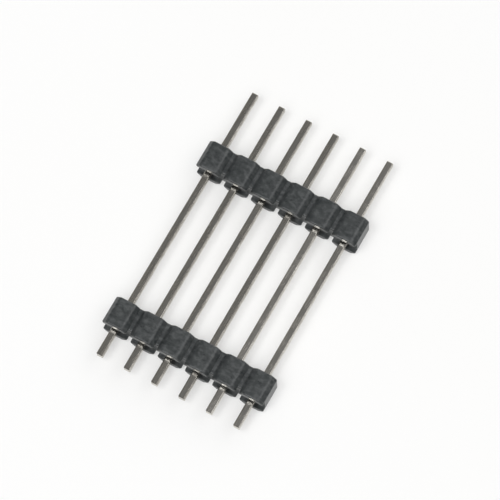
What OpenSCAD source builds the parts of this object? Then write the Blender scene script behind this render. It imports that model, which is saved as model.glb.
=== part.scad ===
// Single-row pin header with two identical housings on one row of long straight pins.
// It lies on its side: X runs along the row, Y along the pins towards the long posts, Z up.
// The origin is midway along the row and along the pins, on the plane the housings lie on.

/* [Row] */
// Number of pins, with one housing cell for each
pin_count = 6; // [2:1:20]
// Distance from one pin to the next
pitch = 2.54; // [2.45:0.01:5.08]

/* [Pins] */
// Thickness of the square pin wire
pin_w = 0.6; // [0.4:0.01:0.8]
// Radius on the four long edges of the wire
pin_edge_r = 0.1; // [0.02:0.01:0.15]
// Chamfer round both blunt ends of a pin
pin_tip_chamfer = 0.06; // [0.02:0.01:0.15]
// Length of the short tails, from the pin ends to the board housing
tail_len = 2.4; // [1:0.1:12]
// Length of the long posts, from the stack housing to the pin ends
post_len = 5.6; // [1:0.1:20]

/* [Pin barbs] */
// How far each barb stands out of the pin's side
barb_h = 0.05; // [0.01:0.01:0.12]
// Length of a barb's ramp along the pin
barb_len = 0.6; // [0.2:0.05:1]
// Height of a barb across the pin's side
barb_w = 0.3; // [0.1:0.02:0.36]

/* [Housings] */
// Length of each housing along the pins
housing_len = 2.5; // [1.7:0.05:5]
// Height of each housing, across the row
housing_h = 2.54; // [2:0.01:3]
// Clear distance between the two housings
housing_gap = 13; // [1:0.1:40]
// Width of one eight-sided cell along the row
cell_w = 2.2; // [1.6:0.05:2.4]
// Size of the cut that takes off each of a cell's long corners
cell_corner = 0.4; // [0.1:0.01:0.5]
// Height of the web that joins neighbouring cells
web_h = 1.6; // [0.8:0.05:1.8]
// Height of the two feet of each cell, above and below the channel in the face towards the tails
foot_h = 0.55; // [0.3:0.05:0.7]
// How far the feet stand out past the bottom of that channel and past the web
foot_len = 0.4; // [0.1:0.05:0.8]
// Chamfer round the rim of a housing's end faces
rim_chamfer = 0.08; // [0.02:0.01:0.15]

/* [Pin holes] */
// Extra width on each side of the pin at the mouth of a hole's lead-in, in the channel's bottom
lead_in_w = 0.14; // [0.05:0.01:0.25]
// Depth of the lead-in, on the side that the pins are pushed in from
lead_in_depth = 0.2; // [0.05:0.01:0.5]

/* [Hidden] */
HOUSING_COLOR = "#2b2d2f";
PIN_COLOR = "#b4afa4";
ARC_FACETS = 32;
CUT_MARGIN = 0.1;

// Heights and places that follow from the sizes above
pin_z = housing_h / 2;
pin_len = tail_len + housing_len + housing_gap + housing_len + post_len;
tail_tip_y = -pin_len / 2;
board_housing_y = tail_tip_y + tail_len;
stack_housing_y = board_housing_y + housing_len + housing_gap;

// Far enough for a cutting outline to pass right through a cell
cut_reach = 2 * (housing_h + cell_w);

// Node name of pin i, counted from 1
function pin_name(i) = str("pin_", i);

// Place along the row of pin i, counted from 1
function pin_x(i) = (i - (pin_count + 1) / 2) * pitch;

// Extrudes a (Y, Z) outline along X, centred on X = 0
module across_row(reach) {
    rotate([90, 0, 90])
        linear_extrude(height = reach, center = true)
            children();
}

// What an outline leaves when it is extruded both across the row and up through it
module four_sided() {
    intersection() {
        across_row(cut_reach)
            children();
        rotate([0, 90, 0])
            across_row(cut_reach)
                children();
    }
}

// Outline of a bar from Y = 0 to len, half_h either way, with its four corners bevelled
module bevelled_outline(len, half_h, bevel) {
    polygon([
        [0, -half_h + bevel],
        [bevel, -half_h],
        [len - bevel, -half_h],
        [len, -half_h + bevel],
        [len, half_h - bevel],
        [len - bevel, half_h],
        [bevel, half_h],
        [0, half_h - bevel]
    ]);
}

// Section of the pin wire: a square with four rounded corners
module wire_section() {
    flat_w = pin_w - 2 * pin_edge_r;
    square([pin_w, flat_w], center = true);
    square([flat_w, pin_w], center = true);
    for (side_x = [-1, 1], side_z = [-1, 1])
        translate([side_x * flat_w / 2, side_z * flat_w / 2])
            circle(r = pin_edge_r, $fn = ARC_FACETS);
}

// The wire from Y = 0 to pin_len, cut blunt and lightly chamfered at both ends
module wire() {
    intersection() {
        rotate([-90, 0, 0])
            linear_extrude(height = pin_len)
                wire_section();
        four_sided()
            bevelled_outline(pin_len, pin_w / 2, pin_tip_chamfer);
    }
}

// A barb on either side of the wire, which ramps up against the way the pin is pushed in
module barb_pair() {
    linear_extrude(height = barb_w, center = true)
        polygon([
            [-pin_w / 2 - barb_h, -barb_len / 2],
            [pin_w / 2 + barb_h, -barb_len / 2],
            [pin_w / 2, barb_len / 2],
            [-pin_w / 2, barb_len / 2]
        ]);
}

// One pin in place, with a pair of barbs inside each housing
module pin(i) {
    color(PIN_COLOR)
        translate([pin_x(i), 0, pin_z]) {
            translate([0, tail_tip_y, 0])
                wire();
            for (housing_y = [board_housing_y, stack_housing_y])
                translate([0, housing_y + housing_len / 2, 0])
                    barb_pair();
        }
}

// Square funnel at the mouth of a pin hole, in a face at Y = 0
module lead_in() {
    mouth_half = pin_w / 2 + lead_in_w;
    four_sided()
        polygon([
            [-CUT_MARGIN, -mouth_half],
            [0, -mouth_half],
            [lead_in_depth, -pin_w / 2],
            [lead_in_depth, pin_w / 2],
            [0, mouth_half],
            [-CUT_MARGIN, mouth_half]
        ]);
}

// One cell: a bar with an eight-sided section and a bevel round both end faces
module cell() {
    diagonal_half = ((cell_w + housing_h) / 2 - cell_corner) / sqrt(2);
    intersection() {
        across_row(cut_reach)
            bevelled_outline(housing_len, housing_h / 2, rim_chamfer);
        rotate([0, 90, 0])
            across_row(cut_reach)
                bevelled_outline(housing_len, cell_w / 2, rim_chamfer);
        rotate([0, 45, 0])
            across_row(cut_reach)
                bevelled_outline(housing_len, diagonal_half, rim_chamfer);
        rotate([0, -45, 0])
            across_row(cut_reach)
                bevelled_outline(housing_len, diagonal_half, rim_chamfer);
    }
}

// What is cut from one cell's face so that a foot stays above it and another below
module channel() {
    channel_h = housing_h - 2 * foot_h;
    translate([0, (foot_len - CUT_MARGIN) / 2, 0])
        cube([cell_w + 2 * CUT_MARGIN, foot_len + CUT_MARGIN, channel_h], center = true);
}

// The moulding before it is pierced: a cell with two feet for each pin, and one web that joins
// them all behind the feet
module housing_block() {
    for (i = [1:pin_count])
        translate([pin_x(i), 0, 0])
            difference() {
                cell();
                channel();
            }
    translate([0, foot_len, 0])
        across_row(pin_x(pin_count) - pin_x(1))
            bevelled_outline(housing_len - foot_len, web_h / 2, rim_chamfer);
}

// A whole housing with the ends of its feet at y. The pins themselves cut their holes, so that
// wire and barbs sit in the plastic with no gap and no overlap.
module housing(y) {
    color(HOUSING_COLOR)
        difference() {
            translate([0, y, pin_z])
                housing_block();
            for (i = [1:pin_count]) {
                translate([pin_x(i), y + foot_len, pin_z])
                    lead_in();
                pin(i);
            }
        }
}

module board_housing() {
    housing(board_housing_y);
}

module stack_housing() {
    housing(stack_housing_y);
}

board_housing();
stack_housing();
for (i = [1:pin_count])
    pin(i);
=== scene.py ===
import math

import bpy
from mathutils import Matrix, Vector


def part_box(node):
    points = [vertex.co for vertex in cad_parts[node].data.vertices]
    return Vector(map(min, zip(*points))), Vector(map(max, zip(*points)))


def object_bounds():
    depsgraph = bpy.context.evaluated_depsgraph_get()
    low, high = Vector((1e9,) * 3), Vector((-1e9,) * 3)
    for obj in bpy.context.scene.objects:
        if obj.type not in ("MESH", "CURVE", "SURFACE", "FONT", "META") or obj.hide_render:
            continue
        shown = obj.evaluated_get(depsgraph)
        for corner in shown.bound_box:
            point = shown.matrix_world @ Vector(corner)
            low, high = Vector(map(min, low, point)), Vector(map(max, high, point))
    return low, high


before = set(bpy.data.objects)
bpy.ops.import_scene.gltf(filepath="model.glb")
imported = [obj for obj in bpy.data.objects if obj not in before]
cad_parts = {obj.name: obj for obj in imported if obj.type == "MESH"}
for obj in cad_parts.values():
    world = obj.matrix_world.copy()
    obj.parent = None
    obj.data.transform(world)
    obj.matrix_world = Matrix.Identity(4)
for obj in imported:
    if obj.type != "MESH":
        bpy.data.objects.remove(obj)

MM = 0.001
CAD_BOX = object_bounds()
ROW_LOW, ROW_HIGH = CAD_BOX
HOUSINGS = ("board_housing", "stack_housing")
PINS = sorted(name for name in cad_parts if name.startswith("pin_"))

# Half the width of one housing cell, which is how far the row reaches past its outer pins
CELL_HALF = 1.1 * MM
# The pins' distance from one to the next, and their height
PITCH = (ROW_HIGH.x - ROW_LOW.x - 2 * CELL_HALF) / (len(PINS) - 1)
PIN_HEIGHT = (ROW_LOW.z + ROW_HIGH.z) / 2

# Rounding of the mouldings: wide on the long edges of the cells' flats, small on every other
# edge that turns, and none round the pin holes
CELL_BEVEL = 0.2 * MM
EDGE_BEVEL = 0.034 * MM
BEVEL_SEGMENTS = 5
# Points closer than this are one, and faces that turn less than this are one
WELD_REACH = 0.0005 * MM
SAME_FACE = math.radians(1.0)
# An edge is rounded where it turns more than this
TURNING = math.radians(30.0)
# Round a pin's middle, no edge is rounded within this reach
HOLE_REACH = 0.5 * MM
# The flats' long edges lie above the first of these from the pins' height, and their middles
# within the second from the middle of the housing's length
FLAT_REACH = 1.2 * MM
MIDDLE_REACH = 0.6 * MM

# The camera: azimuths are counted from the side of the short tails, towards the end with the
# last pin
CAMERA_AZIMUTH = 32.97
CAMERA_ELEVATION = 69.82
CAMERA_ROLL = -4.05
CAMERA_DISTANCE = 339.7 * MM
CAMERA_LENS = 298.8
SENSOR_WIDTH = 36.0
CLIP_NEAR, CLIP_FAR = 0.01, 10.0
AIM = Vector((-0.184, 0.971, 0.80)) * MM

FLOOR_RADIUS = 1.5
FLOOR_SIDES = 96
# The floor lies this far below the strip, so that their faces don't flicker into each other
FLOOR_DROP = 0.004 * MM
# The share of plain white in the floor where it is seen, which lightens the shadows on it
FLOOR_LIFT = 0.4
FLOOR_GLOW = 1.0

# The studio: a dim room, and its soft boxes, each with an azimuth, an elevation, the level at
# its middle, and how fast it falls away from there
ROOM_COLOUR = (0.985, 0.99, 1.0, 1)
ROOM_LEVEL = 0.05
SOFT_BOXES = {
    "overhead": (30.0, 64.0, 2.20, 14.0),
    "front": (350.0, 55.0, 2.20, 14.0),
    "back": (168.0, 27.0, 1.58, 14.0),
    "back_right": (150.0, 48.0, 0.56, 14.0),
    "back_left": (215.0, 28.0, 0.65, 14.0),
    "right": (96.0, 50.0, 0.55, 14.0),
    "low_left": (265.0, 0.0, 2.20, 60.0),
}
# Two small square lamps, for the bright roots of the pins and the cells' right-hand edges, each
# with an azimuth, an elevation, its size in metres and its power in watts
LAMPS = {
    "top_front": (327.0, 69.8, 0.14, 0.46),
    "ridge": (118.0, 53.0, 0.10, 0.09),
}
LAMP_DISTANCE = 0.5


# ---------------------------------------------------------------- shader helpers

class Shader:
    """A small builder for the nodes of a material, the world or a modifier."""

    def __init__(self, tree):
        self.tree = tree
        self.tree.nodes.clear()

    def node(self, kind, inputs=None, **settings):
        made = self.tree.nodes.new(kind)
        for key, value in settings.items():
            setattr(made, key, value)
        for key, value in (inputs or {}).items():
            self.put(value, made.inputs[key])
        return made

    def put(self, value, socket):
        if isinstance(value, bpy.types.NodeSocket):
            self.tree.links.new(value, socket)
        else:
            socket.default_value = value

    def math(self, operation, a, b=None, c=None):
        made = self.node("ShaderNodeMath", operation=operation)
        for index, value in enumerate((a, b, c)):
            if value is not None:
                self.put(value, made.inputs[index])
        return made.outputs[0]

    def band(self, value, low, high, out_low=0.0, out_high=1.0):
        """value, mapped smoothly from low..high to out_low..out_high."""
        made = self.node("ShaderNodeMapRange", interpolation_type="SMOOTHSTEP")
        for index, number in enumerate((value, low, high, out_low, out_high)):
            self.put(number, made.inputs[index])
        return made.outputs[0]

    def mix(self, fac, a, b):
        made = self.node("ShaderNodeMix", data_type="RGBA")
        self.put(fac, made.inputs[0])
        self.put(a, made.inputs[6])
        self.put(b, made.inputs[7])
        return made.outputs[2]

    def noise(self, vector, scale, detail=2.0, roughness=0.5):
        made = self.node("ShaderNodeTexNoise", {"Vector": vector, "Scale": scale,
                                                "Detail": detail, "Roughness": roughness})
        return made.outputs["Fac"]

    def millimetres(self, stretch=(1.0, 1.0, 1.0)):
        """The point in the row frame, in millimetres, with each axis scaled by stretch."""
        place = self.node("ShaderNodeTexCoord").outputs["Object"]
        made = self.node("ShaderNodeVectorMath", operation="MULTIPLY")
        self.put(place, made.inputs[0])
        made.inputs[1].default_value = tuple(s / MM for s in stretch)
        return made.outputs[0]

    def bump(self, height, depth, normal=None):
        """A bump whose height runs from 0 to 1 over depth metres."""
        made = self.node("ShaderNodeBump", {"Height": height, "Distance": depth,
                                            "Strength": 1.0})
        if normal is not None:
            self.put(normal, made.inputs["Normal"])
        return made.outputs["Normal"]

    def seen_ray(self):
        """1 on rays that show the background: from the camera, in gloss and through glass."""
        path = self.node("ShaderNodeLightPath")
        seen = self.math("MAXIMUM", path.outputs["Is Camera Ray"],
                         path.outputs["Is Glossy Ray"])
        return self.math("MAXIMUM", seen, path.outputs["Is Transmission Ray"])

    def finish(self, shader, kind="ShaderNodeOutputMaterial"):
        out = self.node(kind)
        self.put(shader.outputs[0], out.inputs["Surface"])


def new_material(name):
    material = bpy.data.materials.new(name)
    material.use_nodes = True
    return material, Shader(material.node_tree)


def black_plastic():
    """Glass-filled black moulding: cool dark grey, satin and mottled, with a fine grain, flow
    marks and fibres that lie along the pins."""
    dark = (0.030, 0.034, 0.0345, 1)
    light = (0.042, 0.046, 0.0465, 1)
    blotch = (0.071, 0.076, 0.076, 1)
    smoothest, roughest, uneven = 0.30, 0.38, 0.05
    grain_depth = 0.004 * MM
    fibre_depth = 0.003 * MM

    material, s = new_material("black_plastic")
    flow = s.noise(s.millimetres((0.7, 1.5, 1.0)), 1.1, 3.0, 0.55)
    mottle = s.noise(s.millimetres((0.8, 1.3, 1.0)), 2.6, 4.0, 0.6)
    grain = s.noise(s.millimetres(), 21.0, 3.0, 0.6)
    fibre = s.noise(s.millimetres((1.0, 0.22, 1.0)), 30.0, 2.0, 0.5)
    base = s.mix(s.band(flow, 0.35, 0.65), dark, light)
    base = s.mix(s.band(mottle, 0.42, 0.68), base, blotch)
    rough = s.math("ADD", s.band(grain, 0.3, 0.7, smoothest, roughest),
                   s.band(mottle, 0.3, 0.7, -uneven, uneven))
    normal = s.bump(grain, grain_depth)
    normal = s.bump(fibre, fibre_depth, normal)
    s.finish(s.node("ShaderNodeBsdfPrincipled",
                    {"Base Color": base, "Roughness": rough, "IOR": 1.58, "Normal": normal}))
    return material


def tin_plate():
    """Tinned square wire: a warm grey metal with fine drawing lines along the pin, dull patches
    and specks, and some pins lighter than others."""
    clear = (0.61, 0.585, 0.535, 1)
    dull = (0.43, 0.405, 0.36, 1)
    fresh = (0.78, 0.75, 0.69, 1)
    speckle = (0.38, 0.35, 0.305, 1)
    freshest, speckled = 0.6, 0.35
    smoothest, roughest, clouded = 0.15, 0.22, 0.08
    line_depth = 0.0015 * MM

    material, s = new_material("tin_plate")
    lines = s.noise(s.millimetres((1.0, 0.02, 1.0)), 34.0, 2.0, 0.6)
    cloud = s.noise(s.millimetres((1.0, 0.5, 1.0)), 1.8, 3.0, 0.6)
    speck = s.noise(s.millimetres(), 14.0, 3.0, 0.6)
    across = s.node("ShaderNodeSeparateXYZ", {0: s.millimetres()}).outputs["X"]
    pin = s.math("FLOOR", s.math("MULTIPLY_ADD", across, MM / PITCH, 1.0))
    batch = s.node("ShaderNodeTexWhiteNoise", {"W": pin}, noise_dimensions="1D")
    base = s.mix(s.band(cloud, 0.38, 0.62), clear, dull)
    base = s.mix(s.band(batch.outputs["Value"], 0.5, 1.0, 0.0, freshest), base, fresh)
    base = s.mix(s.band(speck, 0.55, 0.8, 0.0, speckled), base, speckle)
    rough = s.math("ADD", s.band(lines, 0.3, 0.7, smoothest, roughest),
                   s.band(cloud, 0.38, 0.62, 0.0, clouded))
    normal = s.bump(lines, line_depth)
    s.finish(s.node("ShaderNodeBsdfPrincipled",
                    {"Base Color": base, "Metallic": 1.0, "Roughness": rough,
                     "Normal": normal}))
    return material


# ---------------------------------------------------------------- the strip

def marked_edges(middle):
    """A modifier group that weighs each edge for the bevel, in a housing whose length has its
    middle at middle."""
    tree = bpy.data.node_groups.new("marked_edges", "GeometryNodeTree")
    for way in ("INPUT", "OUTPUT"):
        tree.interface.new_socket("Geometry", in_out=way, socket_type="NodeSocketGeometry")
    s = Shader(tree)
    given = s.node("NodeGroupInput").outputs[0]
    angle = s.node("GeometryNodeInputMeshEdgeAngle").outputs["Unsigned Angle"]
    position = s.node("GeometryNodeInputPosition").outputs[0]
    place = s.node("ShaderNodeSeparateXYZ", {0: position})
    in_cell = s.math("FLOORED_MODULO", place.outputs["X"], PITCH)
    beside = s.math("ABSOLUTE", s.math("SUBTRACT", in_cell, PITCH / 2))
    above = s.math("ABSOLUTE", s.math("SUBTRACT", place.outputs["Z"], PIN_HEIGHT))
    along = s.math("ABSOLUTE", s.math("SUBTRACT", place.outputs["Y"], middle))
    off_hole = s.math("GREATER_THAN", s.math("MAXIMUM", beside, above), HOLE_REACH)
    chosen = s.math("MULTIPLY", s.math("GREATER_THAN", angle, TURNING), off_hole)
    on_flat = s.math("MULTIPLY", s.math("GREATER_THAN", above, FLAT_REACH),
                     s.math("LESS_THAN", along, MIDDLE_REACH))
    small = EDGE_BEVEL / CELL_BEVEL
    size = s.math("MULTIPLY_ADD", on_flat, 1.0 - small, small)
    marked = s.node("GeometryNodeStoreNamedAttribute",
                    {"Geometry": given, "Name": "bevel_weight_edge",
                     "Value": s.math("MULTIPLY", chosen, size)},
                    data_type="FLOAT", domain="EDGE")
    s.put(marked.outputs[0], s.node("NodeGroupOutput").inputs[0])
    return tree


def soften(names):
    """Rounds the edges of the mouldings, which come unrounded in model.glb."""
    for name in names:
        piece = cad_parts[name]
        low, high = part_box(name)
        piece.modifiers.new("weld", "WELD").merge_threshold = WELD_REACH
        flats = piece.modifiers.new("flats", "DECIMATE")
        flats.decimate_type = "DISSOLVE"
        flats.angle_limit = SAME_FACE
        marks = piece.modifiers.new("marks", "NODES")
        marks.node_group = marked_edges((low.y + high.y) / 2)
        edges = piece.modifiers.new("edges", "BEVEL")
        edges.width = CELL_BEVEL
        edges.segments = BEVEL_SEGMENTS
        edges.limit_method = "WEIGHT"
        edges.harden_normals = True


def dress(names, material):
    for name in names:
        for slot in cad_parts[name].material_slots:
            slot.material = material


# ---------------------------------------------------------------- the studio

def way_to(azimuth, elevation):
    """The direction from the strip to that side."""
    a, e = math.radians(azimuth), math.radians(elevation)
    return Vector((math.sin(a) * math.cos(e), -math.cos(a) * math.cos(e), math.sin(e)))


def add_floor():
    """The plain pale floor that the strip lies on."""
    cream = (0.98, 0.976, 0.96, 1)
    white = (0.985, 0.983, 0.972, 1)
    glow_colour = (1.0, 0.998, 0.99, 1)

    bpy.ops.mesh.primitive_circle_add(vertices=FLOOR_SIDES, radius=FLOOR_RADIUS,
                                      fill_type="NGON",
                                      location=(0.0, 0.0, ROW_LOW.z - FLOOR_DROP))
    floor = bpy.context.object
    floor.name = "floor"
    material, s = new_material("floor_paint")
    tone = s.noise(s.millimetres(), 0.02, 2.0)
    colour = s.mix(s.band(tone, 0.3, 0.7), cream, white)
    paint = s.node("ShaderNodeBsdfPrincipled", {"Base Color": colour, "Roughness": 0.9,
                                                "Specular IOR Level": 0.0})
    glow = s.node("ShaderNodeEmission", {"Color": glow_colour, "Strength": FLOOR_GLOW})
    both = s.node("ShaderNodeMixShader", {"Fac": s.math("MULTIPLY", s.seen_ray(), FLOOR_LIFT)})
    s.put(paint.outputs[0], both.inputs[1])
    s.put(glow.outputs[0], both.inputs[2])
    s.finish(both)
    floor.data.materials.append(material)


def add_world():
    """A dim room with broad soft boxes all round the strip."""
    world = bpy.data.worlds.new("studio")
    bpy.context.scene.world = world
    world.use_nodes = True
    s = Shader(world.node_tree)
    way = s.node("ShaderNodeTexCoord").outputs["Generated"]
    level = ROOM_LEVEL
    for azimuth, elevation, strength, falloff in SOFT_BOXES.values():
        toward = s.node("ShaderNodeVectorMath", {0: way, 1: way_to(azimuth, elevation)},
                        operation="DOT_PRODUCT").outputs["Value"]
        fall = s.math("EXPONENT", s.math("MULTIPLY_ADD", toward, falloff, -falloff))
        level = s.math("MULTIPLY_ADD", fall, strength, level)
    s.finish(s.node("ShaderNodeBackground", {"Color": ROOM_COLOUR, "Strength": level}),
             "ShaderNodeOutputWorld")


def add_lamp(name, azimuth, elevation, size, power):
    """A square soft lamp that looks at the strip from that side."""
    way = way_to(azimuth, elevation)
    data = bpy.data.lights.new(name, "AREA")
    data.shape = "SQUARE"
    data.size = size
    data.energy = power
    lamp = bpy.data.objects.new(name, data)
    lamp.location = way * LAMP_DISTANCE
    lamp.rotation_mode = "QUATERNION"
    lamp.rotation_quaternion = (-way).to_track_quat("-Z", "Y")
    lamp.visible_camera = False
    bpy.context.scene.collection.objects.link(lamp)


def add_camera():
    back = way_to(CAMERA_AZIMUTH, CAMERA_ELEVATION)
    data = bpy.data.cameras.new("camera")
    data.lens = CAMERA_LENS
    data.sensor_width = SENSOR_WIDTH
    data.clip_start = CLIP_NEAR
    data.clip_end = CLIP_FAR
    camera = bpy.data.objects.new("camera", data)
    turn = (-back).to_track_quat("-Z", "Y").to_matrix().to_4x4()
    roll = Matrix.Rotation(math.radians(CAMERA_ROLL), 4, "Z")
    camera.matrix_world = Matrix.Translation(AIM + back * CAMERA_DISTANCE) @ turn @ roll
    bpy.context.scene.collection.objects.link(camera)
    bpy.context.scene.camera = camera


add_camera()
soften(HOUSINGS)
dress(HOUSINGS, black_plastic())
dress(PINS, tin_plate())
add_floor()
add_world()
for lamp_name, settings in LAMPS.items():
    add_lamp(lamp_name, *settings)
bpy.context.scene.view_settings.view_transform = "Standard"
